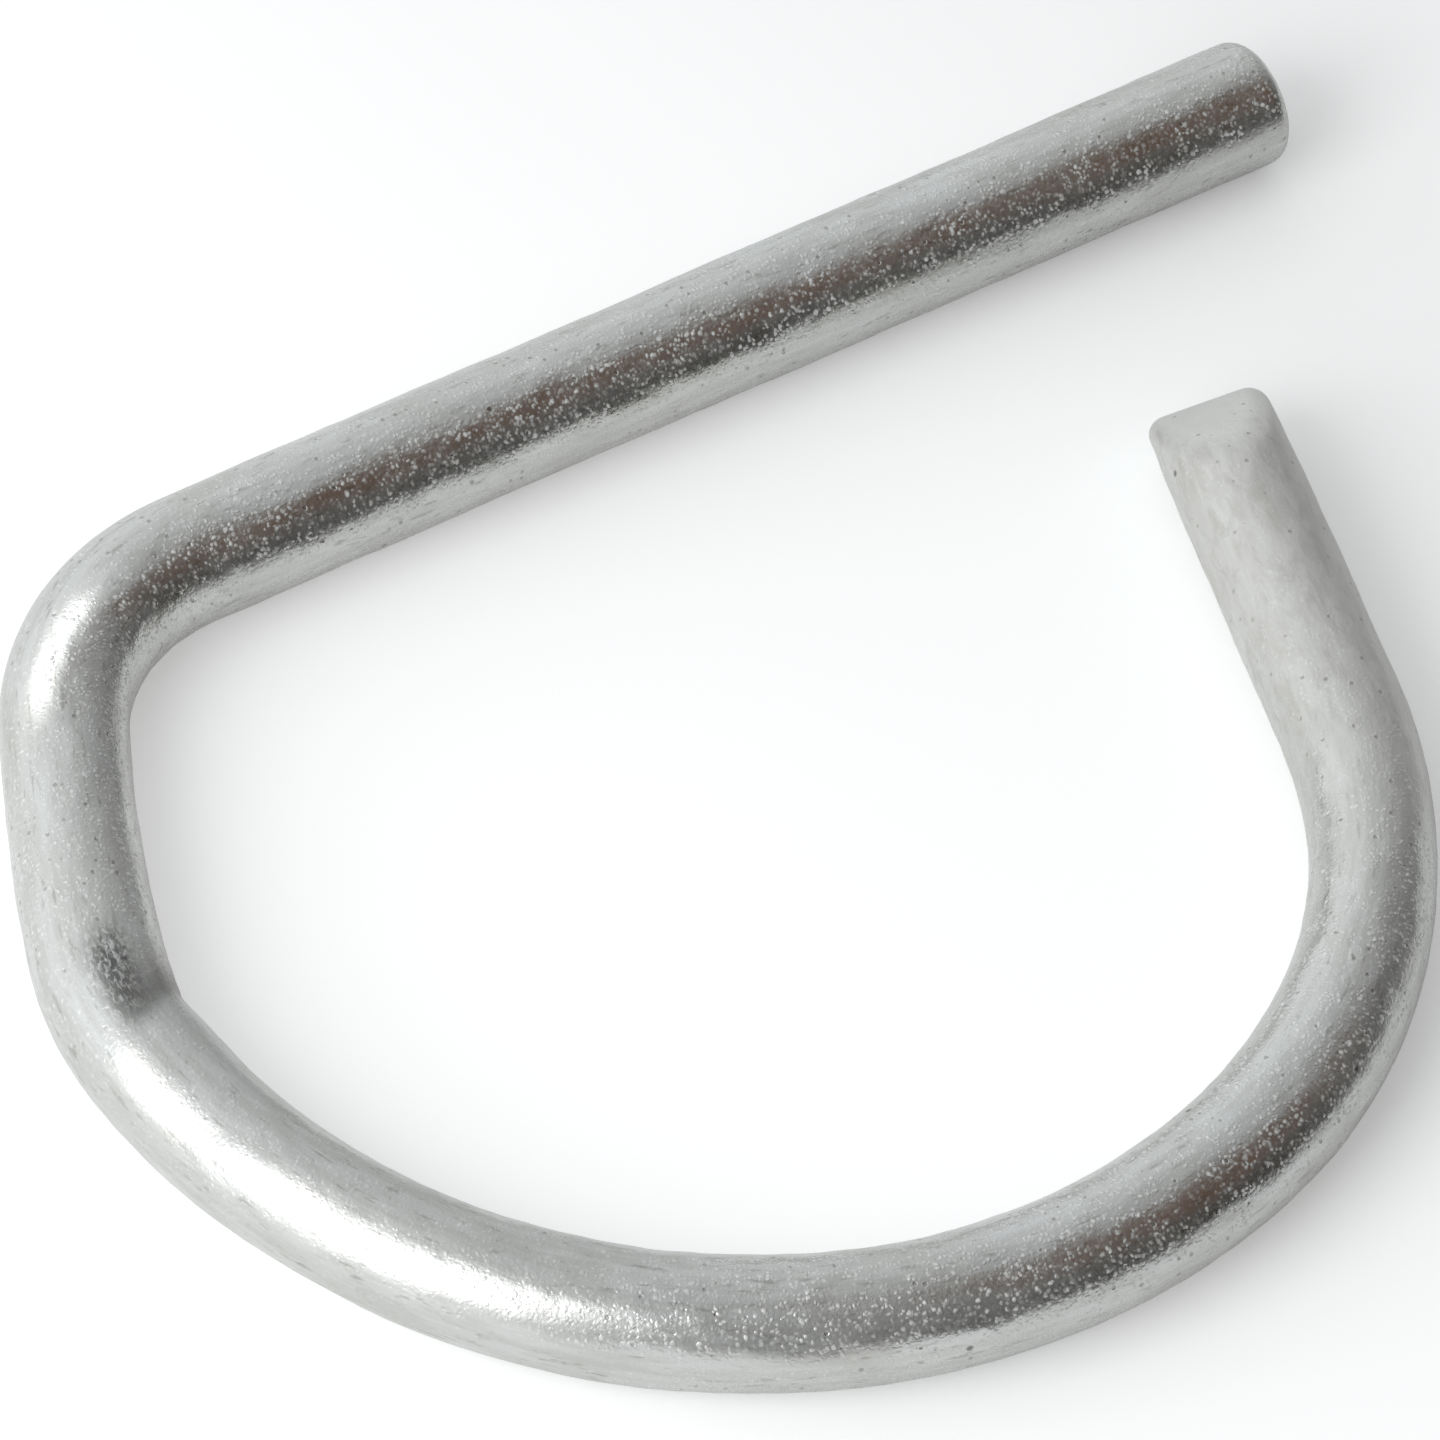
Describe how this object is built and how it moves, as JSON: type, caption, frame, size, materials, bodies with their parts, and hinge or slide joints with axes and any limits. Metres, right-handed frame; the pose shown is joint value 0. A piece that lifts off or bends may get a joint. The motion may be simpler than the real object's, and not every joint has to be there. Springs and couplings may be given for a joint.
{
  "type": "scaffold locking pin",
  "caption": "Locking pin bent from one galvanised round bar: a straight shank and an open D-shaped loop that swings round a scaffold tube to keep the shank in its holes.",
  "frame": {"origin": "on the straight shank's axis, half way along the shank, where the middle of the pinned tube lies", "axes": "+X along the shank and out of its tip, -Y towards the loop, +Z across the bar: the pin lies flat in XY"},
  "size_m": [0.1419, 0.1081, 0.011],
  "materials": {
    "galvanised_steel": "zinc coated, satin, finely grained and blotchy, with light streaks along the bar"
  },
  "bodies": {
    "root": {"bent_bar": "galvanised_steel"}
  },
  "joints": []
}
